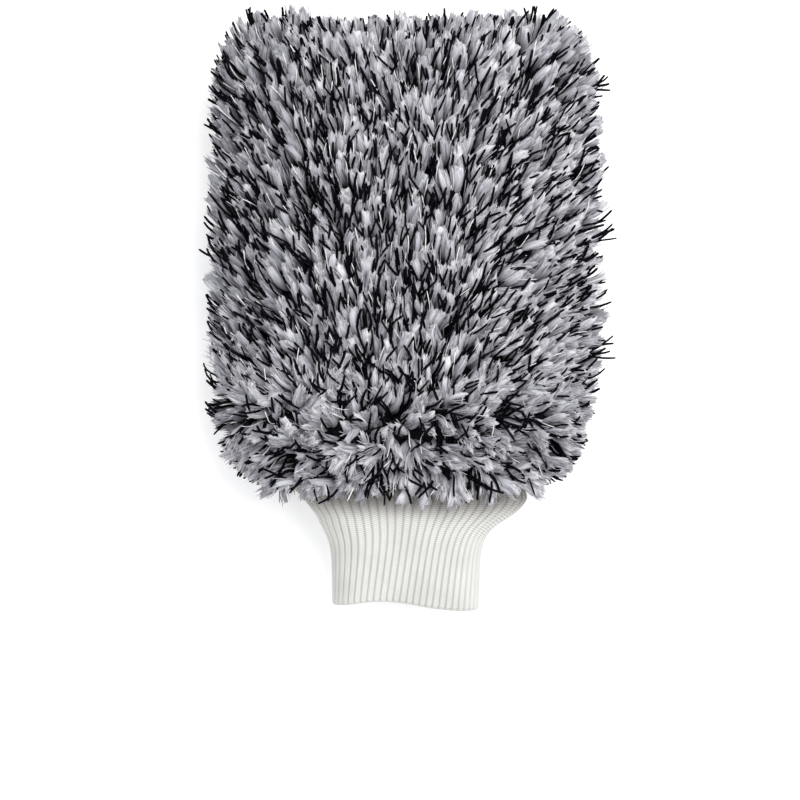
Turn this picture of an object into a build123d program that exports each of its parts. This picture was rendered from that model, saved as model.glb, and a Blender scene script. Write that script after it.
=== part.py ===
"""Wash mitt: a two-panel plush pouch with a sewn-in lining bag and a ribbed, folded knit cuff.

The mitt lies on its back panel. +Z is up, +Y runs from the wrist to the fingertips and X is across the
palm. The origin is the centre of its footprint on the surface that it rests on. Millimetres.
"""

import math
import os

from build123d import *

os.makedirs("parts", exist_ok=True)

# ---------------------------------------------------------------- driving dimensions
OVERALL_LENGTH = 300.0  # cuff mouth to pile tips at the fingertips
PILE_WIDTH = 194.0
PILE_HEIGHT = 66.0  # both panels with a hand-sized space between them
PILE_DEPTH = 16.0  # how far the combed pile stands off its ground cloth
PILE_SPREAD = 1.0  # how much further it stands out at the two sides
PILE_OVERHANG = 7.0  # how far it hangs past the cuff's sewn edge
PILE_CORNER = 34.0
POUCH_LENGTH = 209.0  # sewn pouch, shoulder seam to fingertip seam
POUCH_TOP_CORNER = 25.0
POUCH_SHOULDER_CORNER = 27.0
NECK_WIDTH = 118.0  # where the cuff is stretched on to the pouch
NECK_HEIGHT = 30.0
NECK_FLARE = 4.0  # how much wider the neck is where it meets the pouch
CUFF_LENGTH = 65.0
CUFF_WIDTH = 73.6  # relaxed rib
CUFF_BAND_LENGTH = 38.0  # the part next to the mouth, which keeps its shape as the cuff folds
CUFF_TAPER_MIDDLE = 18.0  # distance from the sewn edge at which the knit is half relaxed
CUFF_TAPER_REACH = 5.5
CUFF_WALL = 3.9  # two knit layers and the elastic between them
CUFF_SEAM_LENGTH = 3.0
CUFF_DROOP = 4.0  # how far the mouth sags below the pouch's middle

SHELL_CLOTH = 1.2
LINING_CLOTH = 0.8
KNIT_CLOTH = 1.4
HEM_FOLD = 2.5
SEWN_EDGE = 2.0  # where the cuff's two layers are sewn flat together
ELASTIC_COUNT = 7
ELASTIC_DIAMETER = 0.7
ELASTIC_PITCH = 3.8
ELASTIC_MARGIN = 4.0  # from the top of the band to its first elastic thread
SHELL_SEAM_THICKNESS = 2.4
SHELL_SEAM_WIDTH = 3.0
SHELL_SEAM_INSET = 1.6
LINING_SEAM_THICKNESS = 1.8
LINING_SEAM_WIDTH = 2.4
LINING_SEAM_INSET = 5.4
LINING_RIM_INSET = 8.4  # leaves room for both seam allowances between the two bags
LINING_FACE_INSET = 1.8
CUFF_SEAM_PROUD = 0.4  # how far the cuff's seam ring stands off the neck
CUFF_SEAM_ROUNDING = 0.6
FOLD_ROOM = 3.0  # space above and below the neck, in the pile, for the cuff to fold into
CLEARANCE = 0.2

# ---------------------------------------------------------------- worked out from them
MID_Z = PILE_HEIGHT / 2
NECK_OPENING = NECK_WIDTH + 2 * NECK_FLARE  # the gap that the rim seams and the pile leave for the neck
TIP_Y = OVERALL_LENGTH / 2
MOUTH_Y = -OVERALL_LENGTH / 2
POUCH_WIDTH = PILE_WIDTH - 2 * (PILE_DEPTH + PILE_SPREAD)
POUCH_HEIGHT = PILE_HEIGHT - 2 * PILE_DEPTH
POUCH_TOP_Y = TIP_Y - PILE_DEPTH
SHOULDER_Y = POUCH_TOP_Y - POUCH_LENGTH
CUFF_TOP_Y = MOUTH_Y + CUFF_LENGTH
NECK_END_Y = CUFF_TOP_Y + CUFF_SEAM_LENGTH
PILE_END_Y = CUFF_TOP_Y - PILE_OVERHANG
BAND_TOP_Y = MOUTH_Y + CUFF_BAND_LENGTH


def across(y, drop=0.0):
    """The plane across the mitt at y, with its origin on the pouch's middle, facing the wrist."""
    return Plane(origin=(0, y, MID_Z - drop), x_dir=(1, 0, 0), z_dir=(0, -1, 0))


def rounded_slab(width, bottom_y, top_y, height, bottom_corner, top_corner):
    """A cushion-shaped volume: a flat slab with rounded corners and a fully rounded rim."""
    with BuildPart() as slab:
        with BuildSketch(Plane.XY.offset(MID_Z)) as outline:
            with Locations((0, (bottom_y + top_y) / 2)):
                Rectangle(width, top_y - bottom_y)
            fillet(outline.vertices().group_by(Axis.Y)[0], bottom_corner)
            fillet(outline.vertices().group_by(Axis.Y)[-1], top_corner)
        extrude(amount=height / 2, both=True)
        fillet(slab.faces().filter_by(Axis.Z).edges(), height / 2 - 0.1)
    return slab.part


def pouch_volume(side_inset, face_inset):
    """The sewn pouch and its neck, drawn in from the outside at its rim and at its two faces."""
    width = POUCH_WIDTH - 2 * side_inset
    height = POUCH_HEIGHT - 2 * face_inset
    bottom_y, top_y = SHOULDER_Y + side_inset, POUCH_TOP_Y - side_inset
    with BuildPart() as volume:
        add(
            rounded_slab(
                width,
                bottom_y,
                top_y,
                height,
                POUCH_SHOULDER_CORNER - side_inset,
                POUCH_TOP_CORNER - side_inset,
            )
        )
        for y, flare in ((bottom_y + height / 2, NECK_FLARE), (NECK_END_Y, 0)):
            with BuildSketch(across(y)):
                SlotOverall(NECK_WIDTH + flare - 2 * face_inset, NECK_HEIGHT - 2 * face_inset)
        loft()
    return volume.part


def cuff_half_width(distance):
    """Half the cuff's width at a distance from its sewn edge: stretched at the seam, then relaxed."""
    stretched, relaxed = NECK_WIDTH / 2, CUFF_WIDTH / 2
    return relaxed + (stretched - relaxed) / (1 + math.exp((distance - CUFF_TAPER_MIDDLE) / CUFF_TAPER_REACH))


def cuff_drop(distance):
    """How far the cuff's middle has sagged at a distance from its sewn edge."""
    return CUFF_DROOP * (distance / CUFF_LENGTH) ** 2


def cuff_volume(inset, start=0.0, end=CUFF_LENGTH, steps=8):
    """The cuff's flattened tube, drawn in from its outside, between two distances from its sewn edge."""
    with BuildPart() as volume:
        for step in range(steps + 1):
            distance = CUFF_LENGTH * step / steps
            with BuildSketch(across(CUFF_TOP_Y - distance, cuff_drop(distance))):
                SlotOverall(2 * (cuff_half_width(distance) - inset), NECK_HEIGHT - 2 * inset)
        loft()
        if start > 0:
            split(bisect_by=across(CUFF_TOP_Y - start), keep=Keep.TOP)
        if end < CUFF_LENGTH:
            split(bisect_by=across(CUFF_TOP_Y - end), keep=Keep.BOTTOM)
    return volume.part


def panel_half(outside, inside, keep):
    """One panel of a two-panel bag: the cloth between two volumes, on one side of the rim seam."""
    with BuildPart() as panel:
        add(outside)
        add(inside, mode=Mode.SUBTRACT)
        split(bisect_by=Plane.XY.offset(MID_Z), keep=keep)
    return panel.part


def seam_band(outer_inset, width, thickness):
    """A flat sewn seam allowance that follows the pouch's rim from one side of the neck to the other."""
    with BuildPart() as band:
        with BuildSketch(Plane.XY.offset(MID_Z)):
            for inset, mode in ((outer_inset, Mode.ADD), (outer_inset + width, Mode.SUBTRACT)):
                with BuildSketch(mode=mode) as outline:
                    with Locations((0, (SHOULDER_Y + POUCH_TOP_Y) / 2)):
                        Rectangle(POUCH_WIDTH - 2 * inset, POUCH_LENGTH - 2 * inset)
                    fillet(outline.vertices().group_by(Axis.Y)[0], POUCH_SHOULDER_CORNER - inset)
                    fillet(outline.vertices().group_by(Axis.Y)[-1], POUCH_TOP_CORNER - inset)
            with Locations((0, SHOULDER_Y)):
                Rectangle(NECK_OPENING, 3 * width + 2 * outer_inset, mode=Mode.SUBTRACT)
        extrude(amount=thickness / 2, both=True)
    return band.part


# ---------------------------------------------------------------- plush shell: ground cloth and pile
shell_outside = pouch_volume(0, 0)
shell_inside = pouch_volume(SHELL_CLOTH, SHELL_CLOTH)

with BuildPart() as front_shell:
    add(panel_half(shell_outside, shell_inside, Keep.TOP))

with BuildPart() as back_shell:
    add(panel_half(shell_outside, shell_inside, Keep.BOTTOM))

# The pile's envelope, hollow round the shell and open round the neck, with room for the cuff to fold.
with BuildPart() as pile_envelope:
    add(rounded_slab(PILE_WIDTH, PILE_END_Y, TIP_Y, PILE_HEIGHT, PILE_CORNER, PILE_CORNER))
    add(pouch_volume(-CLEARANCE, -CLEARANCE), mode=Mode.SUBTRACT)
    with BuildSketch(across(NECK_END_Y + NECK_FLARE)):
        SlotOverall(NECK_OPENING, NECK_HEIGHT + 2 * FOLD_ROOM)
    extrude(amount=PILE_CORNER, mode=Mode.SUBTRACT)

with BuildPart() as front_pile:
    add(pile_envelope.part)
    split(bisect_by=Plane.XY.offset(MID_Z), keep=Keep.TOP)

with BuildPart() as back_pile:
    add(pile_envelope.part)
    split(bisect_by=Plane.XY.offset(MID_Z), keep=Keep.BOTTOM)

# ---------------------------------------------------------------- lining bag
lining_outside = pouch_volume(LINING_RIM_INSET, LINING_FACE_INSET)
lining_inside = pouch_volume(LINING_RIM_INSET + LINING_CLOTH, LINING_FACE_INSET + LINING_CLOTH)

with BuildPart() as front_lining:
    add(panel_half(lining_outside, lining_inside, Keep.TOP))

with BuildPart() as back_lining:
    add(panel_half(lining_outside, lining_inside, Keep.BOTTOM))

# ---------------------------------------------------------------- overlocked seams
with BuildPart() as shell_seam:
    add(seam_band(SHELL_SEAM_INSET, SHELL_SEAM_WIDTH, SHELL_SEAM_THICKNESS))

with BuildPart() as lining_seam:
    add(seam_band(LINING_SEAM_INSET, LINING_SEAM_WIDTH, LINING_SEAM_THICKNESS))

# The ring where shell, lining and cuff are sewn together.
with BuildPart() as cuff_seam:
    with BuildSketch(across(NECK_END_Y)):
        SlotOverall(NECK_WIDTH + 2 * CUFF_SEAM_PROUD, NECK_HEIGHT + 2 * CUFF_SEAM_PROUD)
        SlotOverall(NECK_WIDTH - 2 * CUFF_WALL, NECK_HEIGHT - 2 * CUFF_WALL, mode=Mode.SUBTRACT)
    extrude(amount=CUFF_SEAM_LENGTH)
    fillet(cuff_seam.faces().filter_by(Axis.Y).edges(), CUFF_SEAM_ROUNDING)

# ---------------------------------------------------------------- ribbed cuff
# One knitted tube, folded at the mouth into two layers with a gap between them for the elastic.
gap_reach = (SEWN_EDGE, CUFF_LENGTH - HEM_FOLD)
with BuildPart() as gap:
    add(cuff_volume(KNIT_CLOTH, *gap_reach))
    add(cuff_volume(CUFF_WALL - KNIT_CLOTH, *gap_reach), mode=Mode.SUBTRACT)

with BuildPart() as folded_tube:
    add(cuff_volume(0))
    add(cuff_volume(CUFF_WALL), mode=Mode.SUBTRACT)
    add(gap.part, mode=Mode.SUBTRACT)

# The stretched part next to the seam bends; the band below it keeps its shape.
with BuildPart() as cuff_neck:
    add(folded_tube.part)
    split(bisect_by=across(BAND_TOP_Y), keep=Keep.BOTTOM)

with BuildPart() as cuff_band:
    add(folded_tube.part)
    split(bisect_by=across(BAND_TOP_Y), keep=Keep.TOP)
    mouth = cuff_band.faces().sort_by(Axis.Y)[0]
    fillet(mouth.edges(), HEM_FOLD / 2)


# Elastic threads laid round the band between its two layers.
def elastic_path(y):
    """The closed loop, midway between the cuff's two layers, that an elastic thread follows at y."""
    distance = CUFF_TOP_Y - y
    with BuildSketch(across(y, cuff_drop(distance))) as loop:
        SlotOverall(2 * cuff_half_width(distance) - CUFF_WALL, NECK_HEIGHT - CUFF_WALL)
    return loop.sketch.face().outer_wire()


elastic_paths = [elastic_path(BAND_TOP_Y - ELASTIC_MARGIN - ELASTIC_PITCH * n) for n in range(ELASTIC_COUNT)]
with BuildPart() as cuff_elastics:
    for path in elastic_paths:
        with BuildSketch(Plane(origin=path @ 0, z_dir=path % 0)):
            Circle(ELASTIC_DIAMETER / 2)
        sweep(path=path)

# ---------------------------------------------------------------- files
pieces = {
    "front_pile": front_pile,
    "back_pile": back_pile,
    "front_shell": front_shell,
    "back_shell": back_shell,
    "front_lining": front_lining,
    "back_lining": back_lining,
    "shell_seam": shell_seam,
    "lining_seam": lining_seam,
    "cuff_seam": cuff_seam,
    "cuff_neck": cuff_neck,
    "cuff_band": cuff_band,
    "cuff_elastics": cuff_elastics,
}
for name, piece in pieces.items():
    piece.part.label = name
    export_step(piece.part, f"parts/{name}.step")
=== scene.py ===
"""Looks for the wash mitt: combed plush on a sewn pouch, a lining bag, overlocked seams and a ribbed cuff.

Metres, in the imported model's frame: +Z up from the surface that the mitt rests on, +Y to the fingertips.
"""
import math

import bpy
import numpy as np
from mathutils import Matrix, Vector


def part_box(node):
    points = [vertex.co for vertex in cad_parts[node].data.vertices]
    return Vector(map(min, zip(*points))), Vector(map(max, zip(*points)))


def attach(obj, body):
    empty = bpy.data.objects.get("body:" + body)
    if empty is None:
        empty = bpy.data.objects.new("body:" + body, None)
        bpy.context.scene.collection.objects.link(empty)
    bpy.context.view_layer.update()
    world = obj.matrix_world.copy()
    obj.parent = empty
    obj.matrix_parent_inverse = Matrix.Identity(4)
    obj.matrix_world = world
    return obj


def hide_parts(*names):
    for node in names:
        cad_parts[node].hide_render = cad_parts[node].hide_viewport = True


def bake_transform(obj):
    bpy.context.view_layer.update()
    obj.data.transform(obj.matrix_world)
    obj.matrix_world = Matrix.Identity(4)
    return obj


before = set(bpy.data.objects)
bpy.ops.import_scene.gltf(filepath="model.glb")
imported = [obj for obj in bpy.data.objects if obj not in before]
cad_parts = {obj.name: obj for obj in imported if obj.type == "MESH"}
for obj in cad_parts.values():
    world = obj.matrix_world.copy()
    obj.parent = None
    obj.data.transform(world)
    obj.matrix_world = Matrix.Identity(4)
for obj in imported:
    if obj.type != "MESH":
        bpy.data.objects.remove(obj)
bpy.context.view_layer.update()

MM = 0.001
SEED = 7
random = np.random.default_rng(SEED)

# ---------------------------------------------------------------- places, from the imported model
shell_low, shell_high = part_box("front_shell")
pile_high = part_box("front_pile")[1]
seam_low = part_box("shell_seam")[0]
ring_low, ring_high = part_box("cuff_seam")
neck_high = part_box("cuff_neck")[1]
band_low, band_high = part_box("cuff_band")

MID_Z = shell_low.z
POUCH_HALF_WIDTH = shell_high.x
POUCH_HALF_HEIGHT = shell_high.z - MID_Z
POUCH_TOP_Y = shell_high.y
NECK_END_Y = shell_low.y
SEAM_WIDTH = 1.6 * MM
SHOULDER_Y = seam_low.y - SEAM_WIDTH
PILE_DEPTH = pile_high.z - shell_high.z
GROWING_ROOM = 4.5 * MM
TOP_CORNER = 25 * MM
SHOULDER_CORNER = 27 * MM
RING_PROUD = 0.4 * MM
NECK_HALF_WIDTH = ring_high.x - RING_PROUD
NECK_HALF_HEIGHT = (ring_high.z - ring_low.z) / 2 - RING_PROUD

CUFF_TOP_Y = neck_high.y
MOUTH_Y = band_low.y
CUFF_LENGTH = CUFF_TOP_Y - MOUTH_Y

RIM_INSET = {"shell": 0.0, "lining": 8.4 * MM}
FACE_INSET = {"shell": 0.0, "lining": 1.8 * MM}
GROUND_THICKNESS = 1.2 * MM
LINING_THICKNESS = 0.8 * MM


# ---------------------------------------------------------------- mesh helpers
def unit(vectors):
    """Each vector at length one."""
    return vectors / np.maximum(np.linalg.norm(vectors, axis=-1, keepdims=True), 1e-12)


def make_mesh(name, points, quads, triangles=None, uvs=None):
    """A smooth-shaded object from vertex, quad and triangle arrays."""
    triangles = np.zeros((0, 3), int) if triangles is None else triangles
    mesh = bpy.data.meshes.new(name)
    mesh.vertices.add(len(points))
    mesh.vertices.foreach_set("co", points.astype(np.float32).ravel())
    corners = np.concatenate([quads.ravel(), triangles.ravel()]).astype(np.int32)
    starts = np.concatenate([np.arange(len(quads)) * 4, len(quads) * 4 + np.arange(len(triangles)) * 3])
    mesh.loops.add(len(corners))
    mesh.loops.foreach_set("vertex_index", corners)
    mesh.polygons.add(len(starts))
    mesh.polygons.foreach_set("loop_start", starts.astype(np.int32))
    mesh.polygons.foreach_set("use_smooth", np.ones(len(starts), bool))
    if uvs is not None:
        layer = mesh.uv_layers.new(name="OFBake")
        layer.data.foreach_set("uv", uvs.astype(np.float32).ravel())
    mesh.update(calc_edges=True)
    made = bpy.data.objects.new(name, mesh)
    bpy.context.scene.collection.objects.link(made)
    return made


def set_attribute(made, name, values):
    """Stores a number or a vector on each vertex, for the materials to read."""
    kind = "FLOAT" if values.ndim == 1 else "FLOAT_VECTOR"
    attribute = made.data.attributes.new(name, kind, "POINT")
    attribute.data.foreach_set("value" if values.ndim == 1 else "vector", values.astype(np.float32).ravel())


def grid_quads(rows, columns, close_rows=False):
    """Quads of a sheet that is closed round its columns, and round its rows too if asked."""
    row = np.arange(rows if close_rows else rows - 1)[:, None]
    column = np.arange(columns)[None, :]
    here, after, beside = row * columns, (row + 1) % rows * columns, (column + 1) % columns
    corners = [here + column, here + beside, after + beside, after + column]
    return np.stack([np.broadcast_to(c, (len(row), columns)) for c in corners], axis=-1).reshape(-1, 4)


def drift(points, wavelength, seed, waves=7):
    """Smooth noise from about -1 to 1 over x and y: a few plane waves with random headings."""
    picks = np.random.default_rng(seed)
    heading = picks.uniform(0, 2 * math.pi, waves)
    phase = picks.uniform(0, 2 * math.pi, waves)
    pace = 2 * math.pi / (wavelength * picks.uniform(0.7, 1.5, waves))
    ahead = points[..., 0, None] * np.cos(heading) + points[..., 1, None] * np.sin(heading)
    return np.sin(ahead * pace + phase).sum(axis=-1) / math.sqrt(waves)


# ---------------------------------------------------------------- the pouch's cloth
def rim_distance(x, y):
    """How far inside the pouch's outline, a rectangle with rounded corners, each point lies."""
    middle_y = (POUCH_TOP_Y + SHOULDER_Y) / 2
    half_length = (POUCH_TOP_Y - SHOULDER_Y) / 2
    corner = np.where(y > middle_y, TOP_CORNER, SHOULDER_CORNER)
    over_x = np.abs(x) - (POUCH_HALF_WIDTH - corner)
    over_y = np.abs(y - middle_y) - (half_length - corner)
    outside = np.hypot(np.maximum(over_x, 0), np.maximum(over_y, 0))
    return corner - outside - np.minimum(np.maximum(over_x, over_y), 0)


def outline_half_width(y, inset):
    """Half the pouch's width at y, neck included."""
    top_bend = np.clip((y - (POUCH_TOP_Y - TOP_CORNER)) / (TOP_CORNER - inset), 0, 1)
    low_bend = np.clip(((SHOULDER_Y + SHOULDER_CORNER) - y) / (SHOULDER_CORNER - inset), 0, 1)
    width = POUCH_HALF_WIDTH - inset
    width = width - (TOP_CORNER - inset) * (1 - np.sqrt(1 - top_bend**2))
    width = width - (SHOULDER_CORNER - inset) * (1 - np.sqrt(1 - low_bend**2))
    return width


def round_edge(distance, radius):
    """Height of a fully rounded edge at a distance in from it."""
    reach = np.clip(distance / radius, 0, 1)
    return radius * np.sqrt(1 - (1 - reach) ** 2)


def pouch_sheet(rim_inset, face_inset, columns=168):
    """Vertices of a pouch-shaped bag as rings from its neck to its fingertip seam."""
    half_height = POUCH_HALF_HEIGHT - face_inset
    top_y = POUCH_TOP_Y - GROWING_ROOM - rim_inset
    straight = np.linspace(NECK_END_Y, top_y - half_height, 74)
    rounded = top_y - half_height * (1 - np.sin(np.linspace(0, math.pi / 2, 15)[1:]))
    rings = []
    turn = 2 * math.pi * np.arange(columns) / columns
    for y in np.concatenate([straight, rounded]):
        neck = NECK_HALF_WIDTH - face_inset
        in_neck = y < SHOULDER_Y + POUCH_HALF_HEIGHT
        width = outline_half_width(y, rim_inset) if y > SHOULDER_Y + rim_inset else 0
        width = max(width, neck) if in_neck else width
        x = width * np.cos(turn)
        height = round_edge(rim_distance(x, y) - rim_inset, half_height)
        if in_neck:
            height = np.maximum(height, round_edge(neck - np.abs(x), NECK_HALF_HEIGHT - face_inset))
        z = MID_Z + np.maximum(height, 0.2 * MM) * np.sign(np.sin(turn) + 1e-9)
        rings.append(np.stack([x, np.full(columns, y), z], axis=-1))
    return np.array(rings)


def pouch_faces(rows, columns):
    """Quads of a pouch-shaped bag, with its last ring sewn flat."""
    quads = grid_quads(rows, columns)
    last = (rows - 1) * columns
    here = np.arange(columns // 2)
    across = columns - here - 1
    seam = last + np.stack([here, here + 1, across, -here % columns], axis=-1)
    return np.concatenate([quads, seam])[:, ::-1]


def limited(moved, rest, most):
    """Moved points, none of them further than most from rest."""
    move = moved - rest
    size = np.linalg.norm(move, axis=-1, keepdims=True)
    return rest + move * np.minimum(1, most / np.maximum(size, 1e-9))


def cloth_modifier(made, group, pressure, growth, frames):
    """Cloth that grows a little and is blown up from inside, without weight."""
    modifier = made.modifiers.new("cloth", "CLOTH")
    settings = modifier.settings
    settings.quality = 5
    settings.mass = 0.15
    settings.tension_stiffness = settings.compression_stiffness = 8
    settings.shear_stiffness = 4
    settings.bending_stiffness = 0.05
    settings.shrink_min = -growth
    settings.use_pressure = True
    settings.uniform_pressure_force = pressure
    settings.vertex_group_mass = group.name
    settings.effector_weights.gravity = 0
    modifier.collision_settings.use_collision = False
    modifier.point_cache.frame_end = frames
    return modifier


def simulate_cloth(made, pinned, pressure, growth, most, frames=24):
    """Blows the bag up as cloth, and keeps the result as its mesh, with each move limited."""
    rest = np.array([v.co for v in made.data.vertices])
    group = made.vertex_groups.new(name="pinned")
    group.add([int(i) for i in pinned], 1.0, "REPLACE")
    modifier = cloth_modifier(made, group, pressure, growth, frames)
    for number in range(1, frames + 1):
        bpy.context.scene.frame_set(number)
    graph = bpy.context.evaluated_depsgraph_get()
    shape = made.evaluated_get(graph).to_mesh()
    moved = np.array([v.co for v in shape.vertices])
    made.modifiers.remove(modifier)
    made.vertex_groups.remove(group)
    bpy.context.scene.frame_set(1)
    made.data.vertices.foreach_set("co", limited(moved, rest, most).astype(np.float32).ravel())
    made.data.update()


def thicken(made, thickness):
    """Gives a cloth sheet its thickness, inwards."""
    modifier = made.modifiers.new("thickness", "SOLIDIFY")
    modifier.thickness = thickness
    modifier.offset = -1


def sewn_bag(name, kind, pressure, growth, most):
    """A bag of two panels, simulated as cloth."""
    rings = pouch_sheet(RIM_INSET[kind], FACE_INSET[kind])
    rows, columns = rings.shape[:2]
    made = make_mesh(name, rings.reshape(-1, 3), pouch_faces(rows, columns))
    simulate_cloth(made, range(3 * columns), pressure, growth, most)
    return made


# ---------------------------------------------------------------- the pile's strands
PARTING_Y = -60 * MM
PARTING_WAVER = 5 * MM
PARTING_SPREAD = 7 * MM
TOUSLED_FROM_Y = -24 * MM
TOUSLED_REACH = 32 * MM
RIM_REACH = 12 * MM
RIM_STRAY = 0.45
TOP_CORNER_GAIN = 0.26
LOW_LEFT_GAIN = 0.15
LOW_RIGHT_GAIN = 0.10
LOW_RIGHT_LOSS = 0.55
FINGERTIP_LOSS = 0.10


def scatter(made, count, spacing, picks):
    """Points spread evenly over a mesh, no closer than spacing, and the outward normal at each."""
    mesh = made.data
    mesh.calc_loop_triangles()
    corners = np.zeros(len(mesh.loop_triangles) * 3, np.int32)
    mesh.loop_triangles.foreach_get("vertices", corners)
    points = np.zeros(len(mesh.vertices) * 3, np.float32)
    mesh.vertices.foreach_get("co", points)
    normals = np.zeros(len(mesh.vertices) * 3, np.float32)
    mesh.vertices.foreach_get("normal", normals)
    points, normals = points.reshape(-1, 3).astype(float), normals.reshape(-1, 3).astype(float)
    corners = corners.reshape(-1, 3)
    a, b, c = (points[corners[:, k]] for k in range(3))
    area = np.linalg.norm(np.cross(b - a, c - a), axis=1)
    face = picks.choice(len(corners), size=count * 6, p=area / area.sum())
    share = picks.dirichlet((1, 1, 1), size=len(face))
    spots = np.einsum("nk,nkx->nx", share, points[corners[face]])
    facing = unit(np.einsum("nk,nkx->nx", share, normals[corners[face]]))
    kept = thinned(spots, spacing, count)
    return spots[kept], facing[kept]


def thinned(spots, spacing, count):
    """Indices of spots that keep their distance from those kept before them."""
    cells, kept = {}, []
    near = [(i, j, k) for i in (-1, 0, 1) for j in (-1, 0, 1) for k in (-1, 0, 1)]
    keys = np.floor(spots / spacing).astype(int)
    for index, (spot, key) in enumerate(zip(spots, keys)):
        around = [cells.get((key[0] + i, key[1] + j, key[2] + k)) for i, j, k in near]
        if all(other is None or np.sum((spots[other] - spot) ** 2) > spacing**2 for other in around):
            cells[tuple(key)] = index
            kept.append(index)
            if len(kept) == count:
                break
    return np.array(kept)


def eased(values):
    """Values clipped to 0..1 and eased at both ends."""
    share = np.clip(values, 0, 1)
    return share * share * (3 - 2 * share)


def above_parting(points):
    """How far each point lies above the wavering line where the pile parts."""
    return points[:, 1] - PARTING_Y - PARTING_WAVER * drift(points, 50 * MM, 10)


def tousled(points):
    """How disturbed the pile is: 0 over most of the pouch, rising to 1 near the cuff."""
    return eased((TOUSLED_FROM_Y - points[:, 1]) / TOUSLED_REACH)


def comb_direction(points, picks):
    """The way the pile is brushed: up and outwards above the parting, down and outwards below it.

    It points away from a place far below the pile on the left, and nearer on the right, where it splays more.
    Round the rim it also strays to both faces of the mitt, so that it closes over the seam.
    """
    x = points[:, 0]
    above = above_parting(points) + picks.normal(0, PARTING_SPREAD, len(x))
    right = eased((x + 25 * MM) / (70 * MM))
    up = (0.15 + 0.30 * right) * above + (115 - 93 * right) * MM
    up = up * (0.4 + 0.6 * eased(above / (25 * MM)))
    down = 1.8 * above - 8 * MM
    heading = np.arctan2(x + 3 * MM, np.where(above > 0, up, down))
    heading += 0.11 * drift(points, 46 * MM, 11) + 0.10 * drift(points, 17 * MM, 12)
    stir = 0.45 * drift(points, 34 * MM, 13) + 0.55 * drift(points, 13 * MM, 14)
    heading += tousled(points) * (1 - 0.5 * right) * stir
    at_rim = eased(1 - rim_distance(x, points[:, 1]) / RIM_REACH)
    stray = at_rim * picks.normal(0, RIM_STRAY, len(x))
    return np.stack([np.sin(heading), np.cos(heading), stray], axis=-1)


def pile_reach(roots, normals):
    """How far the pile stands out: it fills the corners out, and lies closer at the edge low on the right."""
    x, y = normals[:, 0], normals[:, 1]
    gain = np.where(y > 0, TOP_CORNER_GAIN, np.where(x > 0, LOW_RIGHT_GAIN, LOW_LEFT_GAIN))
    corner = gain * np.minimum(1, 4 * (x * y) ** 2)
    drawn = LOW_RIGHT_LOSS * eased((-10 * MM - roots[:, 1]) / (60 * MM)) * np.maximum(x, 0) ** 3
    return 1 + corner - drawn - FINGERTIP_LOSS * np.maximum(y, 0) ** 2


def turned(directions, angles):
    """Directions in the plane of the mitt, each turned by its angle."""
    cos, sin = np.cos(angles), np.sin(angles)
    x, y = directions[:, 0], directions[:, 1]
    return np.stack([x * cos - y * sin, x * sin + y * cos, directions[:, 2]], axis=-1)


def grow(roots, normals, combs, lengths, picks, lean, wave, steps):
    """Centre lines of strands that leave the cloth along its normal and lean over the way they are combed.

    lean is how far over a strand leans at its root and at its tip, and how late it does so. Strands stand
    straighter at the parting and curl more where the pile is tousled.
    """
    side = unit(np.cross(combs, normals) + 1e-6)
    stoop = 0.75 + 0.25 * eased(np.abs(above_parting(roots)) / (16 * MM))[:, None]
    curl = wave * (1 + 1.2 * tousled(roots))[:, None]
    bow = picks.normal(0, 1, (len(roots), 1)) * curl
    phase = picks.uniform(0, 2 * math.pi, (len(roots), 1))
    lines = [roots]
    for step in range(steps - 1):
        t = (step + 0.5) / (steps - 1)
        over = (lean[0] + (lean[1] - lean[0]) * t ** lean[2]) * stoop
        swing = bow * 1.6 * t + curl * np.sin(phase + 5 * t)
        heading = unit(normals * (1 - over) + combs * over + side * swing)
        lines.append(lines[-1] + heading * lengths[:, None] / (steps - 1))
    return np.stack(lines, axis=1)


def drawn_in(lines, normals, depth):
    """Shortens strands that stand further off the cloth than depth."""
    reach = lines - lines[:, :1]
    height = np.einsum("nkx,nx->nk", reach, normals).max(axis=1)
    scale = np.minimum(1, depth / np.maximum(height, 1e-6))
    return lines[:, :1] + reach * scale[:, None, None]


def on_surface(lines, clearance):
    """Lays strands that would pass through the surface under the mitt on to it."""
    lines = lines.copy()
    room = lines[..., 2] - clearance[:, None]
    lines[..., 2] = clearance[:, None] + np.where(room > 0, room, room * -0.04)
    return lines


def skin(lines, facing, half_width, half_thickness, outline, rim, ragged, picks):
    """Closed tubes round centre lines: outline swells them along their length, rim shapes their section."""
    lines = lines.copy()
    lines[:, -1] = lines[:, -2] + 0.3 * (lines[:, -1] - lines[:, -2])
    along = unit(np.gradient(lines, axis=1))
    across = unit(np.cross(along, facing[:, None]))
    out = np.cross(across, along)
    angle = 2 * math.pi * np.arange(len(rim)) / len(rim)
    spread = half_width[:, None, None, None] * (np.cos(angle) * rim)[:, None] * across[:, 1:-1, None]
    rise = half_thickness[:, None, None, None] * (np.sin(angle) * rim)[:, None] * out[:, 1:-1, None]
    points = lines[:, 1:-1, None] + outline[:, None, None] * (spread + rise)
    if ragged:
        share = np.array([0.25, 0.6, 1.0])[:, None, None]
        shift = picks.normal(0, ragged, (len(lines), 1, len(rim), 1))
        points[:, -3:] += along[:, -4:-1, None] * shift * share
    return np.concatenate([lines[:, :1], points.reshape(len(lines), -1, 3), lines[:, -1:]], axis=1)


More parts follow.
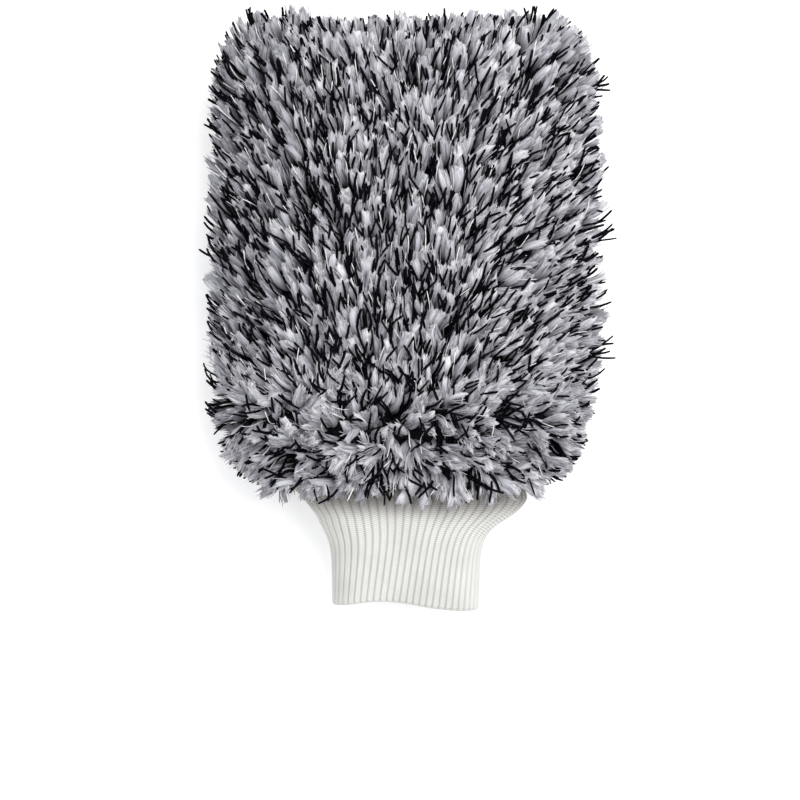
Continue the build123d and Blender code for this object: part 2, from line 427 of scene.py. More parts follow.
def tube_faces(rings, sides):
    """Quads and triangles of one closed tube, and the place of each corner on its unrolled side."""
    ring, side = np.meshgrid(np.arange(rings - 1), np.arange(sides), indexing="ij")
    ring, side = ring.ravel(), side.ravel()
    beside = (side + 1) % sides
    here, after = 1 + ring * sides, 1 + (ring + 1) * sides
    quads = np.stack([here + side, after + side, after + beside, here + beside], axis=-1)
    u0, u1 = side / sides, (side + 1) / sides
    v0, v1 = (ring + 1) / (rings + 1), (ring + 2) / (rings + 1)
    quad_uvs = np.stack([u0, v0, u0, v1, u1, v1, u1, v0], axis=-1).reshape(-1, 2)
    each = np.arange(sides)
    tip = 1 + rings * sides
    root_fan = np.stack([np.zeros(sides, int), 1 + each, 1 + (each + 1) % sides], axis=-1)
    tip_fan = np.stack([np.full(sides, tip), tip - sides + (each + 1) % sides, tip - sides + each], axis=-1)
    left, right = each / sides, (each + 1) / sides
    low, high = np.full(sides, 1 / (rings + 1)), np.full(sides, rings / (rings + 1))
    middle, zero, one = (left + right) / 2, np.zeros(sides), np.ones(sides)
    root_uvs = np.stack([middle, zero, left, low, right, low], axis=-1).reshape(-1, 2)
    tip_uvs = np.stack([middle, one, right, high, left, high], axis=-1).reshape(-1, 2)
    return quads, np.concatenate([root_fan, tip_fan]), quad_uvs, np.concatenate([root_uvs, tip_uvs])


def cells(count, first, total, shape):
    """Lower left corners and size of the texture cells of strands first to first + count, out of total."""
    columns = max(1, math.ceil(math.sqrt(total * shape)))
    rows = math.ceil(total / columns)
    number = first + np.arange(count)
    corner = np.stack([number % columns / columns, number // columns / rows], axis=-1)
    return corner, np.array([1 / columns, 1 / rows])


CELL_SHAPE = 2.5
CELL_MARGIN = 0.06


class Bunch:
    """Strands of one kind, with what their material needs to know about each."""

    def __init__(self, lines, points, tone, rings, sides):
        self.lines, self.points, self.tone = lines, points, tone
        self.rings, self.sides = rings, sides

    def picked(self, which):
        """The strands that which marks."""
        return Bunch(self.lines[which], self.points[which], self.tone[which], self.rings, self.sides)


def plush_object(name, bunches):
    """One object from bunches of strands, with its texture layout and its strand attributes."""
    total = sum(len(b.points) for b in bunches)
    parts = {key: [] for key in ("points", "quads", "triangles", "quad_uvs", "triangle_uvs", "tone", "grain")}
    first_strand, first_point = 0, 0
    for bunch in bunches:
        count, size = bunch.points.shape[:2]
        if count == 0:
            continue
        quads, triangles, quad_uvs, triangle_uvs = tube_faces(bunch.rings, bunch.sides)
        offset = first_point + size * np.arange(count)[:, None, None]
        corner, cell = cells(count, first_strand, total, CELL_SHAPE)
        place = corner[:, None] + CELL_MARGIN * cell
        cell = (1 - 2 * CELL_MARGIN) * cell
        parts["points"].append(bunch.points.reshape(-1, 3))
        parts["quads"].append((quads[None] + offset).reshape(-1, 4))
        parts["triangles"].append((triangles[None] + offset).reshape(-1, 3))
        parts["quad_uvs"].append((place + cell * quad_uvs[None]).reshape(-1, 2))
        parts["triangle_uvs"].append((place + cell * triangle_uvs[None]).reshape(-1, 2))
        parts["tone"].append(np.repeat(bunch.tone, size))
        parts["grain"].append(strand_grain(bunch).reshape(-1, 3))
        first_strand += count
        first_point += count * size
    joined = {key: np.concatenate(value) for key, value in parts.items()}
    uvs = np.concatenate([joined["quad_uvs"], joined["triangle_uvs"]])
    made = make_mesh(name, joined["points"], joined["quads"], joined["triangles"], uvs)
    set_attribute(made, "tone", joined["tone"])
    set_attribute(made, "grain", joined["grain"])
    return made


def strand_grain(bunch):
    """For each vertex: its turn round the strand, its place from root to tip, and its strand's number."""
    count = len(bunch.points)
    turn = np.tile(np.arange(bunch.sides) / bunch.sides, bunch.rings)
    along = np.repeat((np.arange(bunch.rings) + 1) / (bunch.rings + 1), bunch.sides)
    turn = np.concatenate([[0], turn, [0]])
    along = np.concatenate([[0], along, [1]])
    grain = np.zeros((count, len(turn), 3))
    grain[..., 0], grain[..., 1] = turn, along
    grain[..., 2] = np.arange(count)[:, None] * 0.37
    return grain


LOCK_OUTLINE = np.array([0.40, 0.62, 0.82, 0.96, 1.0, 1.0, 0.95, 0.80])
LOCK_RIM = np.array([1.0, 0.76, 0.94, 0.72, 0.98, 0.80, 1.0, 0.74, 0.96, 0.70, 0.92, 0.78])
YARN_OUTLINE = np.array([0.8, 1.0, 1.0, 1.0, 1.0, 0.97, 0.85])
FIBRE_OUTLINE = np.array([1.0, 1.0, 0.7])


def facing_of(normals, picks):
    """Which way each strand's flat side looks."""
    return unit(normals + picks.normal(0, 0.25, normals.shape))


def clustered(roots, normals, members, spread, picks):
    """Roots and normals repeated for each cluster's members, with the roots shifted apart in the cloth."""
    repeat = np.repeat(np.arange(len(roots)), members)
    shift = picks.normal(0, 1, (len(repeat), 3)) * spread
    normals = normals[repeat]
    shift -= normals * np.einsum("nx,nx->n", shift, normals)[:, None]
    return repeat, roots[repeat] + shift, normals


def locks(roots, normals, combs, width, tone, picks, lengths_mm, heights):
    """Split microfibre locks: flattened, ridged, blunt tufts, and the loose fibres over them."""
    count = len(roots)
    reach = pile_reach(roots, normals)
    lengths = picks.uniform(*lengths_mm, count) * MM * reach
    steps = len(LOCK_OUTLINE) + 2
    lines = grow(roots, normals, combs, lengths, picks, lean=(0.12, 0.90, 1.0), wave=0.12, steps=steps)
    lines = drawn_in(lines, normals, PILE_DEPTH * picks.uniform(*heights, count) * reach)
    thickness = picks.uniform(0.8, 1.2, count) * MM
    lines = on_surface(lines, thickness + 0.3 * MM)
    points = skin(lines, facing_of(normals, picks), width, thickness, LOCK_OUTLINE, LOCK_RIM, 1.6 * MM, picks)
    made = Bunch(lines, points, np.clip(tone, 0, 1), len(LOCK_OUTLINE), len(LOCK_RIM))
    return made, loose_fibres(lines, normals, width, tone, picks)


def grey_locks(cloth, picks):
    """The locks that cover the whole cloth, some of them fluffier and paler, and painted shade that darkens
    those on the left.
    """
    roots, normals = scatter(cloth, 3300, 3.9 * MM, picks)
    count = len(roots)
    combs = turned(comb_direction(roots, picks), picks.normal(0, 0.13, count))
    fluffy = picks.uniform(size=count) < 0.10 * (1 - tousled(roots))
    width = picks.uniform(1.9, 3.0, count) * (1 + 0.4 * fluffy) * MM
    # painted shade: locks on the left, away from the key light, are made darker, except where the pile is
    # tousled
    painted_left_shade = eased((-20 * MM - roots[:, 0]) / (60 * MM)) * (1 - tousled(roots))
    tone = 0.53 + 0.08 * drift(roots, 30 * MM, 21) + picks.normal(0, 0.10, count) + 0.2 * fluffy
    tone += 0.08 * tousled(roots) - 0.10 * painted_left_shade
    return locks(roots, normals, combs, width, tone, picks, lengths_mm=(21, 26), heights=(0.82, 0.98))


def fanned_tufts(cloth, picks):
    """Loose pale tufts in the tousled part of the pile, each a fan of narrow locks from one root."""
    roots, normals = scatter(cloth, 560, 9 * MM, picks)
    loose = tousled(roots) > 0.4
    roots, normals = roots[loose], normals[loose]
    combs = comb_direction(roots, picks)
    members = 5
    repeat, roots, normals = clustered(roots, normals, members, 0.8 * MM, picks)
    count = len(roots)
    fan = np.tile(np.linspace(-0.38, 0.38, members), count // members)
    combs = turned(combs[repeat], fan + picks.normal(0, 0.06, count))
    width = picks.uniform(1.2, 1.9, count) * MM
    tone = 0.62 + picks.normal(0, 0.13, count)
    return locks(roots, normals, combs, width, tone, picks, lengths_mm=(24, 29), heights=(0.95, 1.1))


def loose_fibres(lock_lines, normals, width, tone, picks, per_lock=12):
    """Fine fibres that lie over a lock and run on past its tip."""
    repeat = np.repeat(np.arange(len(lock_lines)), per_lock)
    count = len(repeat)
    first = picks.integers(2, 6, count)
    start = lock_lines[repeat, first]
    tip = lock_lines[repeat, -1]
    forward = unit(tip - start)
    out = unit(normals[repeat] + picks.normal(0, 0.3, (count, 3)))
    side = unit(np.cross(forward, out))
    spread = picks.uniform(-1, 1, count)
    lift = 0.9 * MM * np.sqrt(1 - 0.8 * spread**2)
    roots = start + side * (spread * 0.95 * width[repeat])[:, None] + out * lift[:, None]
    lengths = np.linalg.norm(tip - start, axis=1) * picks.uniform(0.9, 1.25, count)
    combs = unit(forward + side * (spread * 0.12)[:, None] + out * picks.uniform(0, 0.10, count)[:, None])
    steps = len(FIBRE_OUTLINE) + 2
    lines = grow(roots, out, combs, lengths, picks, lean=(0.92, 1.0, 1.0), wave=0.07, steps=steps)
    lines = on_surface(lines, np.full(count, 0.3 * MM))
    radius = picks.uniform(0.17, 0.32, count) * MM
    points = skin(lines, out, radius, radius, FIBRE_OUTLINE, np.ones(3), 0, picks)
    shade = np.clip(tone[repeat] + picks.normal(0.02, 0.17, count), 0, 1)
    return Bunch(lines, points, shade, len(FIBRE_OUTLINE), 3)


def cut_yarns(cloth, picks, count, spacing, most, spread, lengths_mm, radii_mm, curl):
    """Cut yarns that stand among the locks, alone or in clusters of up to most, and arch over them."""
    roots, normals = scatter(cloth, count, spacing, picks)
    members = picks.integers(1, most + 1, len(roots))
    stray = 0.11 + 0.06 * tousled(roots)
    combs = turned(comb_direction(roots, picks), picks.normal(0, 1, len(roots)) * stray)
    repeat, roots, normals = clustered(roots, normals, members, spread, picks)
    count = len(repeat)
    combs = turned(combs[repeat], picks.normal(0, 0.7, count) * stray[repeat])
    reach = pile_reach(roots, normals)
    lengths = picks.uniform(*lengths_mm, count) * MM * reach
    steps = len(YARN_OUTLINE) + 2
    lines = grow(roots, normals, combs, lengths, picks, lean=(0.04, 1.0, 1.3), wave=curl, steps=steps)
    heights = picks.uniform(0.97, 1.12, count) + 0.08 * tousled(roots)
    lines = drawn_in(lines, normals, PILE_DEPTH * heights * reach)
    radius = picks.uniform(*radii_mm, count) * MM
    lines = on_surface(lines, radius + 0.2 * MM)
    points = skin(lines, facing_of(normals, picks), radius, radius * 0.9, YARN_OUTLINE, np.ones(5), 0, picks)
    return Bunch(lines, points, picks.uniform(0, 1, count), len(YARN_OUTLINE), 5)


FRINGE_Y = CUFF_TOP_Y - 1 * MM
MICROFIBRE_BANDS = (
    (68 * MM, "_fingertips"),
    (17 * MM, "_fingers"),
    (-41 * MM, "_palm"),
    (-math.inf, "_heel"),
)
YARN_BANDS = ((-math.inf, ""),)
FRINGE = -1


def band_of(bunch, bands):
    """The band that each strand grows in, counted from the fingertips, or FRINGE over the cuff."""
    band = sum((bunch.lines[:, 0, 1] < low).astype(int) for low, _ in bands)
    return np.where(bunch.lines[..., 1].min(axis=1) < FRINGE_Y, FRINGE, band)


def strands_of(bunch, bands, number, sign):
    """The strands of one band on one panel."""
    on_panel = (bunch.lines[:, 0, 2] - MID_Z) * sign > 0
    return bunch.picked((band_of(bunch, bands) == number) & on_panel)


def plush(kind, bunches, material, bands):
    """The pile of one kind, as one object for each band of each panel, in place of the CAD's piles."""
    numbered = [(number, suffix) for number, (_, suffix) in enumerate(bands)] + [(FRINGE, "_fringe")]
    for panel, sign in (("front", 1), ("back", -1)):
        for number, suffix in numbered:
            chosen = [strands_of(bunch, bands, number, sign) for bunch in bunches]
            piece = plush_object(f"{panel}_{kind}{suffix}", chosen)
            piece.data.materials.append(material)
            if number == FRINGE and panel == "front":
                bend_with_cuff(piece)
            else:
                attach(piece, "pouch")
            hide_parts(f"{panel}_pile")


def bend_with_cuff(piece):
    """Fabric over the cuff's neck: its placement is applied to its mesh, and it rides on no body."""
    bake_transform(piece)


# ---------------------------------------------------------------- the ribbed cuff
CUFF_WALL = 3.9 * MM
CUFF_HALF_WIDTH = 36.8 * MM
CUFF_DROOP = 4 * MM
CUFF_TAPER_MIDDLE = 18 * MM
CUFF_TAPER_REACH = 5.5 * MM
RIBS = 56
POINTS_PER_RIB = 10
RIB_HEIGHT = 0.95 * MM
STITCH_PITCH = 1.05 * MM
STITCH_HEIGHT = 0.13 * MM
CUFF_TWIST = 4.5 * MM
HEM_ARCH = 4.3 * MM
HEM_SLANT = 0.6 * MM
BACK_ARCH = 0.5
SHADED_START = 7 * MM
SHADED_REACH = 14 * MM
CUFF_SWAY = 5 * MM
SWAY_EDGE_MIDDLE = 20 * MM
SWAY_EDGE_REACH = 2.2 * MM
SWAY_START = 10 * MM


def stadium(turns, half_width, half_height):
    """Points round a flat-sided oval, evenly spaced along its length, from the middle of its right end."""
    angle = np.linspace(0, 2 * math.pi, 721)
    shift = (half_width - half_height) * np.tanh(np.cos(angle) * 60)
    x, z = half_height * np.cos(angle) + shift, half_height * np.sin(angle)
    length = np.concatenate([[0], np.cumsum(np.hypot(np.diff(x), np.diff(z)))])
    place = (turns % 1) * length[-1]
    return np.interp(place, length, x), np.interp(place, length, z)


def cuff_rows():
    """Distance from the sewn edge and depth below the outside, for each row of the cuff's folded tube."""
    fold = CUFF_WALL / 2
    reach = CUFF_LENGTH - fold
    outer = [(d, 0.0) for d in np.linspace(0, reach, 118)]
    bend = [(reach + fold * math.sin(a), fold * (1 - math.cos(a))) for a in np.linspace(0, math.pi, 10)[1:-1]]
    inner = [(d, CUFF_WALL) for d in np.linspace(reach, 0, 34)]
    return np.array(outer + bend + inner)


def hem_lift(x, z):
    """How far the mouth's edge is drawn up: it slants, and arches on one side, more in front than behind."""
    share = x / CUFF_HALF_WIDTH
    front = (1 + np.tanh(z / (4 * MM))) / 2
    arch = HEM_ARCH * np.exp(-(((share + 0.30) / 0.62) ** 2))
    return arch * (BACK_ARCH + (1 - BACK_ARCH) * front) + HEM_SLANT * (2 - share)


def cuff_sway(distance, share):
    """How far the cuff leans aside: a steady lean in its middle, which its two edges make all at once."""
    edge = share**2
    sudden = 1 / (1 + math.exp((distance - SWAY_EDGE_MIDDLE) / SWAY_EDGE_REACH))
    steady = 1 - distance / CUFF_LENGTH
    return CUFF_SWAY * eased(distance / SWAY_START) * (edge * sudden + (1 - edge) * steady)


def cuff_surface(rows, turns):
    """The cuff's surface without its ribs, as (row, turn, xyz)."""
    surface = []
    for distance, depth in rows:
        half_width = CUFF_HALF_WIDTH + (NECK_HALF_WIDTH - CUFF_HALF_WIDTH) / (
            1 + math.exp((distance - CUFF_TAPER_MIDDLE) / CUFF_TAPER_REACH)
        )
        around = 2 * math.pi * half_width
        slide = CUFF_TWIST / around * (distance / CUFF_LENGTH)
        x, z = stadium(turns + slide, half_width - depth, NECK_HALF_HEIGHT - depth)
        lift = hem_lift(x, z) * (distance / CUFF_LENGTH) ** 1.5
        y = CUFF_TOP_Y - distance + lift
        middle = MID_Z - CUFF_DROOP * (distance / CUFF_LENGTH) ** 2
        x = x + cuff_sway(distance, x / half_width)
        surface.append(np.stack([x, y, middle + z], axis=-1))
    return np.array(surface)


def rib_height(turns, rows):
    """How far ribs and stitches stand off the knit: broad ridges, narrow grooves, small V-shaped stitches."""
    place = turns * RIBS % 1
    ridge = np.abs(np.sin(math.pi * place)) ** 0.42
    leg = np.abs(place - 0.5) * 2
    distance = np.cumsum(np.concatenate([[0], np.hypot(*np.diff(rows, axis=0).T)]))
    stitch = np.cos(2 * math.pi * (distance[:, None] / STITCH_PITCH + 0.55 * leg[None]))
    seat = 1 - 0.30 * np.exp(-(((place - 0.5) / 0.07) ** 2))
    return RIB_HEIGHT * (ridge * seat)[None] + STITCH_HEIGHT * stitch * ridge[None], distance


def ribbed_cuff():
    """The cuff: one ribbed knitted tube, folded double at the mouth, as a closed surface."""
    rows = cuff_rows()
    turns = np.arange(RIBS * POINTS_PER_RIB) / (RIBS * POINTS_PER_RIB)
    surface = cuff_surface(rows, turns)
    around = np.roll(surface, -1, axis=1) - np.roll(surface, 1, axis=1)
    along = np.gradient(surface, axis=0)
    normals = unit(np.cross(around, along))
    height, distance = rib_height(turns, rows)
    points = surface + normals * (height - RIB_HEIGHT * 0.7)[..., None]
    count, columns = points.shape[:2]
    quads = grid_quads(count, columns, close_rows=True)[:, ::-1]
    made = make_mesh("ribbed_cuff", points.reshape(-1, 3), quads)
    wale = np.broadcast_to((turns * RIBS)[None], (count, columns))
    course = np.broadcast_to((distance / STITCH_PITCH)[:, None], (count, columns))
    # painted shadow: 0 at the sewn edge, where the pile overhangs the cuff, rising to 1 beyond it
    clear_of_painted_shadow = np.broadcast_to(eased((rows[:, :1] - SHADED_START) / SHADED_REACH), (count, columns))
    knit = np.stack([wale, course, clear_of_painted_shadow], axis=-1)
    set_attribute(made, "knit", knit.reshape(-1, 3))
    return made


# ---------------------------------------------------------------- materials
def node(tree, kind, inputs=None, **settings):
    """Adds a shader node, sets its settings, and links or sets its inputs."""
    made = tree.nodes.new("ShaderNode" + kind)
    for key, value in settings.items():
        setattr(made, key, value)
    for key, value in (inputs or {}).items():
        if isinstance(value, bpy.types.NodeSocket):
            tree.links.new(value, made.inputs[key])
        else:
            made.inputs[key].default_value = value
    return made


def math_node(tree, operation, first, second=0.0):
    """The output of a Math node."""
    return node(tree, "Math", {0: first, 1: second}, operation=operation).outputs[0]


def weighted(tree, *terms):
    """The sum of values, each multiplied by its weight."""
    total = None
    for value, weight in terms:
        term = math_node(tree, "MULTIPLY", value, weight)
        total = term if total is None else math_node(tree, "ADD", total, term)
    return total


def new_material(name, **inputs):
    """A material with one Principled shader."""
    material = bpy.data.materials.new(name)
    material.use_nodes = True
    tree = material.node_tree
    shader = tree.nodes["Principled BSDF"]
    for key, value in inputs.items():
        shader.inputs[key.replace("_", " ")].default_value = value
    return material, tree, shader


def ramp(tree, factor, stops):
    """A colour ramp over factor, from (position, colour) stops."""
    made = node(tree, "ValToRGB", {"Fac": factor})
    elements = made.color_ramp.elements
    while len(elements) < len(stops):
        elements.new(0.5)
    for element, (position, colour) in zip(elements, stops):
        element.position = position
        element.color = (*colour, 1)
    return made.outputs["Color"]


def tinted(tree, colour, tint):
    """One colour multiplied by another."""
    mixed = node(tree, "Mix", {0: 1.0, 6: colour, 7: tint}, data_type="RGBA", blend_type="MULTIPLY")
    return mixed.outputs[2]


def noise(tree, vector, scale, detail=3.0, roughness=0.55):
    """Fractal noise from 0 to 1."""
    inputs = {"Vector": vector, "Scale": scale, "Detail": detail, "Roughness": roughness}
    return node(tree, "TexNoise", inputs).outputs[0]


def bump(tree, shader, height, strength, distance):
    """Feeds a height into the shader's normal."""
    made = node(tree, "Bump", {"Height": height, "Strength": strength, "Distance": distance})
    tree.links.new(made.outputs["Normal"], shader.inputs["Normal"])


def roughen(tree, shader, value, low, high):
    """Roughness between low and high, as a value goes from 0 to 1."""
    rough = node(tree, "MapRange", {"Value": value, "To Min": low, "To Max": high}).outputs[0]
    tree.links.new(rough, shader.inputs["Roughness"])


def strand_inputs(tree):
    """The strand's tone, and its turn, place from root to tip and number, as separate values."""
    tone = node(tree, "Attribute", attribute_name="tone").outputs["Fac"]
    grain = node(tree, "Attribute", attribute_name="grain").outputs["Vector"]
    parts = node(tree, "SeparateXYZ", {0: grain}).outputs
    return tone, parts[0], parts[1], parts[2]


def strand_vector(tree, turn, along, number, around_scale, along_scale):
    """A texture place that runs without a seam round a strand and streaks along it."""
    angle = math_node(tree, "MULTIPLY", turn, 2 * math.pi)
    x = math_node(tree, "MULTIPLY", math_node(tree, "COSINE", angle), around_scale)
    y = math_node(tree, "MULTIPLY", math_node(tree, "SINE", angle), around_scale)
    z = math_node(tree, "ADD", math_node(tree, "MULTIPLY", along, along_scale), number)
    x = math_node(tree, "ADD", x, math_node(tree, "MULTIPLY", number, 5.1))
    return node(tree, "CombineXYZ", {0: x, 1: y, 2: z}).outputs[0]


def microfibre():
    """Soft grey split fibre: streaks along each lock, and painted shade that darkens it at the root, so it is
    paler towards the tip.
    """
    settings = {"Sheen_Weight": 0.3, "Sheen_Roughness": 0.5, "Specular_IOR_Level": 0.2}
    material, tree, shader = new_material("microfibre_grey", **settings)
    tone, turn, along, number = strand_inputs(tree)
    streaks = noise(tree, strand_vector(tree, turn, along, number, 1.6, 1.1), 1.6, 4.0, 0.62)
    streak = math_node(tree, "SUBTRACT", streaks, 0.5)
    # painted shade: darker near each strand's root, deep in the pile, paler towards its tip
    depth = math_node(tree, "SUBTRACT", along, 0.75)
    shade = weighted(tree, (tone, 1.0), (streak, 1.3), (depth, 0.55))
    stops = [
        (0.0, (0.15, 0.15, 0.175)),
        (0.35, (0.34, 0.34, 0.385)),
        (0.7, (0.56, 0.56, 0.61)),
        (1.0, (0.76, 0.76, 0.80)),
    ]
    tree.links.new(ramp(tree, shade, stops), shader.inputs["Base Color"])
    roughen(tree, shader, streaks, 0.75, 0.98)
    bump(tree, shader, streaks, 0.55, 0.5 * MM)
    return material


def twisted_yarn(name, stops, roughness, sheen, shine):
    """A plied yarn: strands wind round it, with painted shade between them, and its colour varies a little
    from yarn to yarn.
    """
    settings = {"Sheen_Weight": sheen, "Sheen_Roughness": 0.4, "Specular_IOR_Level": shine}
    material, tree, shader = new_material(name, **settings)
    tone, turn, along, number = strand_inputs(tree)
    winding = weighted(tree, (turn, 2 * math.pi), (along, 9 * math.pi))
    ply = math_node(tree, "ABSOLUTE", math_node(tree, "SINE", winding))
    fuzz = noise(tree, strand_vector(tree, turn, along, number, 2.0, 14.0), 2.2, 3.0)
    # painted shade: the colour follows the plies' winding, darker between them; tone and fuzz are the yarn's
    # own
    shade = weighted(tree, (tone, 0.5), (ply, 0.25), (fuzz, 0.25))
    tree.links.new(ramp(tree, shade, stops), shader.inputs["Base Color"])
    roughen(tree, shader, fuzz, *roughness)
    bump(tree, shader, weighted(tree, (ply, 1.0), (fuzz, 0.5)), 0.6, 0.2 * MM)
    return material


def knit_cloth(name, dark, light, pitch, sheen, shine):
    """A fine knitted cloth: rows of small stitches, with painted shade between them and soft blotches of
    tone.
    """
    material, tree, shader = new_material(name, Sheen_Weight=sheen, Specular_IOR_Level=shine)
    place = node(tree, "TexCoord").outputs["Object"]
    parts = node(tree, "SeparateXYZ", {0: place}).outputs
    turns = 2 * math.pi / pitch
    ridge = math_node(tree, "SINE", math_node(tree, "MULTIPLY", parts[0], turns / 2))
    wale = math_node(tree, "ABSOLUTE", ridge)
    slant = math_node(tree, "MULTIPLY", wale, 0.6 * pitch)
    course = math_node(tree, "MULTIPLY", math_node(tree, "ADD", parts[1], slant), turns)
    stitch = math_node(tree, "MULTIPLY", math_node(tree, "ADD", math_node(tree, "SINE", course), 1.0), 0.5)
    height = math_node(tree, "MULTIPLY", math_node(tree, "ADD", stitch, 0.4), wale)
    blotch = noise(tree, place, 90.0, 4.0)
    # painted shade: the colour follows the stitches' height, darker where they sink; the blotches are the
    # cloth's own tone
    shade = weighted(tree, (height, 0.6), (blotch, 0.4))
    tree.links.new(ramp(tree, shade, [(0.1, dark), (0.8, light)]), shader.inputs["Base Color"])
    roughen(tree, shader, blotch, 0.78, 1.0)
    bump(tree, shader, height, 0.7, 0.3 * MM)
    return material


def rib_knit():
    """White rib: a V of two yarn legs for each stitch, with painted shade in the grooves and between the
    stitches, and a painted shadow under the pile.
    """
    material, tree, shader = new_material("rib_knit_white", Sheen_Weight=0.2, Sheen_Roughness=0.5)
    knit = node(tree, "Attribute", attribute_name="knit").outputs["Vector"]
    parts = node(tree, "SeparateXYZ", {0: knit}).outputs
    across = math_node(tree, "FRACT", parts[0])
    leg = math_node(tree, "ABSOLUTE", math_node(tree, "SUBTRACT", across, 0.5))
    slanted = math_node(tree, "ADD", parts[1], math_node(tree, "MULTIPLY", leg, 1.1))
    loop = math_node(tree, "SINE", math_node(tree, "MULTIPLY", slanted, 2 * math.pi))
    loop = math_node(tree, "MULTIPLY", math_node(tree, "ADD", loop, 1.0), 0.5)
    ridge = math_node(tree, "SINE", math_node(tree, "MULTIPLY", across, math.pi))
    # painted shade: groove falls to zero between the ribs and darkens the colour there
    groove = math_node(tree, "POWER", ridge, 0.3)
    place = node(tree, "TexCoord").outputs["Object"]
    fuzz = noise(tree, place, 900.0, 3.0)
    blotch = noise(tree, place, 60.0, 3.0)
    height = weighted(tree, (loop, groove), (fuzz, 0.3))
    # painted shade in the grooves and between the stitch loops; blotch is the yarn's own tone
    shade = weighted(tree, (groove, 0.50), (loop, 0.28), (blotch, 0.22))
    stops = [(0.05, (0.16, 0.155, 0.15)), (0.5, (0.50, 0.50, 0.48)), (0.9, (0.83, 0.83, 0.805))]
    # painted shadow: the cuff's colour is darkened near its sewn edge, under the overhanging pile
    tint = ramp(tree, parts[2], [(0.0, (0.44, 0.41, 0.41)), (1.0, (1.0, 1.0, 1.0))])
    tree.links.new(tinted(tree, ramp(tree, shade, stops), tint), shader.inputs["Base Color"])
    roughen(tree, shader, fuzz, 0.78, 0.97)
    bump(tree, shader, height, 0.7, 0.3 * MM)
    return material


def overlock_thread():
    """Sewn thread: slanting loops of plied polyester, with painted shade between the loops."""
    material, tree, shader = new_material("overlock_thread", Sheen_Weight=0.3)
    place = node(tree, "TexCoord").outputs["Object"]
    inputs = {"Vector": place, "Scale": 260.0, "Distortion": 1.5, "Detail": 2.0, "Detail Scale": 2.0}
    wave = node(tree, "TexWave", inputs, bands_direction="DIAGONAL").outputs["Fac"]
    fuzz = noise(tree, place, 1500.0, 2.0)
    # painted shade: the colour follows the loops' height, darker between them
    shade = weighted(tree, (wave, 0.7), (fuzz, 0.3))
    stops = [(0.1, (0.40, 0.40, 0.39)), (0.8, (0.84, 0.84, 0.81))]
    tree.links.new(ramp(tree, shade, stops), shader.inputs["Base Color"])
    roughen(tree, shader, fuzz, 0.5, 0.8)
    bump(tree, shader, shade, 0.8, 0.4 * MM)
    return material


def elastic_rubber():
    """Natural elastic thread: pale rubber with a fine covering."""
    material, tree, shader = new_material("elastic_rubber")
    place = node(tree, "TexCoord").outputs["Object"]
    fleck = noise(tree, place, 700.0, 4.0)
    stops = [(0.3, (0.62, 0.58, 0.48)), (0.7, (0.80, 0.77, 0.68))]
    tree.links.new(ramp(tree, fleck, stops), shader.inputs["Base Color"])
    roughen(tree, shader, fleck, 0.45, 0.65)
    bump(tree, shader, fleck, 0.3, 0.1 * MM)
    return material


def studio_floor():
    """A plain pale surface with a very faint tooth."""
    material, tree, shader = new_material("studio_floor", Roughness=0.8, Emission_Strength=0.28)
    shader.inputs["Emission Color"].default_value = (1, 1, 1, 1)
    place = node(tree, "TexCoord").outputs["Object"]
    tooth = noise(tree, place, 40.0, 4.0)
    stops = [(0.3, (0.93, 0.935, 0.945)), (0.7, (0.95, 0.953, 0.96))]
    tree.links.new(ramp(tree, tooth, stops), shader.inputs["Base Color"])
    return material


# ---------------------------------------------------------------- the mitt
def dress_cad_node(name, material):
    """Gives a CAD node that stays in view its finished material."""
    node_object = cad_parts[name]
    for slot in node_object.material_slots:
        slot.link = "OBJECT"
        slot.material = material


def dress_bag(bag, material, thickness, replaced):
    """Gives a bag its thickness and cloth, in place of the CAD's two panels."""
    bag.data.materials.append(material)
    thicken(bag, thickness)
    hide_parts(*replaced)
    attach(bag, "pouch")


def build_bags():
    """The ground cloth that the pile grows from, and the lining inside it, each with its material."""
    ground = sewn_bag("ground_cloth_bag", "shell", pressure=2.0, growth=0.03, most=3.5 * MM)
    lining = sewn_bag("lining_bag", "lining", pressure=1.2, growth=0.05, most=3.0 * MM)
    # the ground cloth is made near black so the gaps between the locks read dark: a dark sheet standing in
    # for the shade deep in the pile
    black, charcoal = (0.005, 0.005, 0.007), (0.025, 0.025, 0.030)
    grey, white = (0.55, 0.55, 0.55), (0.88, 0.88, 0.87)
    dark = knit_cloth("ground_cloth_dark", black, charcoal, pitch=1.4 * MM, sheen=0.0, shine=0.1)
    pale = knit_cloth("lining_knit", grey, white, pitch=1.1 * MM, sheen=0.2, shine=0.4)
    return (ground, dark), (lining, pale)


def build_pile(ground):
    """The pile of both panels: grey locks and tufts, clusters of black yarns, and single white yarns."""
    thick, fine = grey_locks(ground, random)
    fanned, fanned_fine = fanned_tufts(ground, random)
    black_cut = {"lengths_mm": (26, 33), "radii_mm": (0.50, 0.76), "curl": 0.15}
    white_cut = {"lengths_mm": (24, 29), "radii_mm": (0.20, 0.30), "curl": 0.12}
    black = cut_yarns(ground, random, count=1700, spacing=4.7 * MM, most=4, spread=0.9 * MM, **black_cut)
    white = cut_yarns(ground, random, count=750, spacing=6.8 * MM, most=1, spread=0.5 * MM, **white_cut)
    black_stops = [(0.2, (0.0008, 0.0008, 0.0015)), (0.8, (0.004, 0.004, 0.007))]
    white_stops = [(0.2, (0.70, 0.70, 0.72)), (0.7, (0.92, 0.92, 0.92))]
    black_yarn = twisted_yarn("yarn_black", black_stops, roughness=(0.5, 0.75), sheen=0.0, shine=0.03)
    white_yarn = twisted_yarn("yarn_white", white_stops, roughness=(0.3, 0.5), sheen=0.4, shine=0.5)
    grey = [thick, fine, fanned, fanned_fine]
    plush("microfibre", grey, microfibre(), MICROFIBRE_BANDS)
    plush("black_yarns", [black], black_yarn, YARN_BANDS)
    plush("white_yarns", [white], white_yarn, YARN_BANDS)


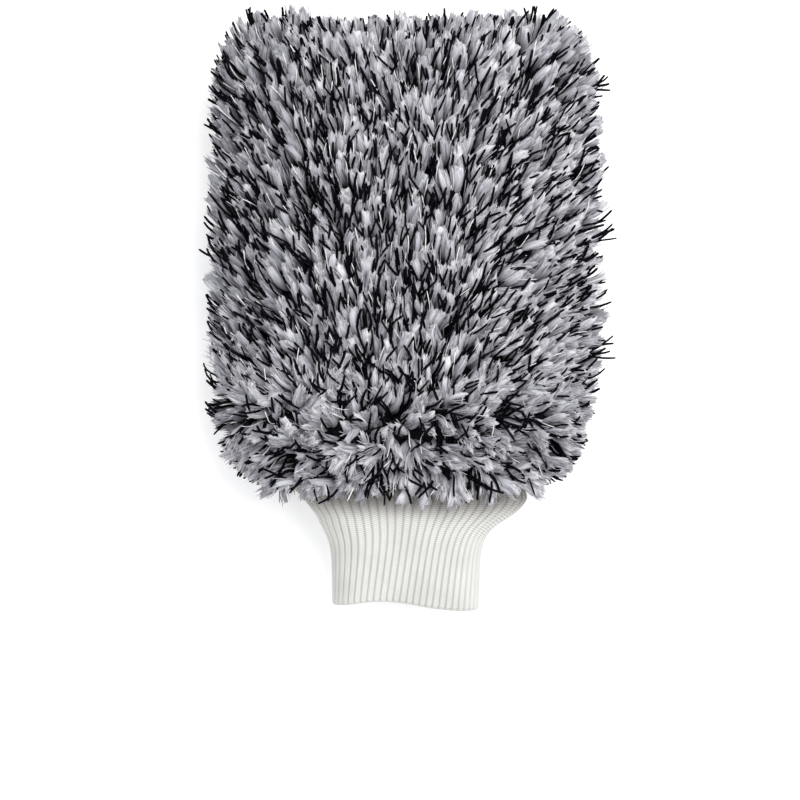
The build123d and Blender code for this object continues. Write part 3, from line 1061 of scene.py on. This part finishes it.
def build_cuff():
    """The ribbed cuff, in place of the CAD's neck and band, with its placement applied to its mesh."""
    cuff = ribbed_cuff()
    cuff.data.materials.append(rib_knit())
    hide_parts("cuff_neck", "cuff_band")
    bend_with_cuff(cuff)


def build_mitt():
    """Every piece of the mitt. The bags and the pile ride on the pouch's body, except the front pile over the
    cuff's neck, which, like the cuff, rides on no body.
    """
    (ground, dark), (lining, pale) = build_bags()
    build_pile(ground)
    dress_bag(ground, dark, GROUND_THICKNESS, ("front_shell", "back_shell"))
    dress_bag(lining, pale, LINING_THICKNESS, ("front_lining", "back_lining"))
    build_cuff()
    thread = overlock_thread()
    for name in ("shell_seam", "lining_seam", "cuff_seam"):
        dress_cad_node(name, thread)
    dress_cad_node("cuff_elastics", elastic_rubber())


# ---------------------------------------------------------------- studio
def area_light(name, place, target, size, power, colour):
    """A soft square light aimed at a point."""
    data = bpy.data.lights.new(name, "AREA")
    data.size, data.energy, data.color = size, power, colour
    light = bpy.data.objects.new(name, data)
    light.location = place
    aim = np.array(target) - np.array(place)
    light.rotation_mode = "QUATERNION"
    light.rotation_quaternion = Vector(aim).to_track_quat("-Z", "Y")
    bpy.context.scene.collection.objects.link(light)


FLOOR_HALF_WIDTH = 3.0
CAMERA_LENS = 85.0
CAMERA_SENSOR = 36.0
CAMERA_VIEW = 0.400
CAMERA_X = -3 * MM
CAMERA_Y = -44.5 * MM


def build_studio():
    """A pale floor, soft light from the upper right, and a camera straight above the mitt."""
    corners = FLOOR_HALF_WIDTH * np.array([[-1, -1, 0], [1, -1, 0], [1, 1, 0], [-1, 1, 0]])
    floor = make_mesh("studio_floor", corners, np.array([[0, 1, 2, 3]]))
    floor.data.materials.append(studio_floor())
    middle = (0, 0, MID_Z)
    area_light("key_light", (0.50, 0.42, 1.2), middle, 0.9, 14, (1.0, 0.99, 0.97))
    area_light("fill_light", (-0.9, -0.3, 1.2), middle, 1.2, 1.5, (0.93, 0.96, 1.0))
    bpy.context.scene.view_settings.view_transform = "Standard"
    build_sky()
    build_camera()


def build_sky():
    """Even white light from all round, a little brighter where the camera sees it."""
    scene = bpy.context.scene
    scene.world = bpy.data.worlds.new("studio")
    scene.world.use_nodes = True
    tree = scene.world.node_tree
    sky = tree.nodes["Background"]
    sky.inputs["Color"].default_value = (1.0, 1.0, 1.0, 1)
    seen = node(tree, "LightPath").outputs["Is Camera Ray"]
    strength = node(tree, "MapRange", {"Value": seen, "To Min": 0.85, "To Max": 1.0}).outputs[0]
    tree.links.new(strength, sky.inputs["Strength"])


def build_camera():
    """A camera straight above the mitt, which sees CAMERA_VIEW from side to side at the mitt's middle."""
    scene = bpy.context.scene
    data = bpy.data.cameras.new("camera")
    data.lens = CAMERA_LENS
    data.sensor_width = CAMERA_SENSOR
    camera = bpy.data.objects.new("camera", data)
    camera.location = (CAMERA_X, CAMERA_Y, MID_Z + CAMERA_VIEW * CAMERA_LENS / CAMERA_SENSOR)
    scene.collection.objects.link(camera)
    scene.camera = camera


build_mitt()
build_studio()
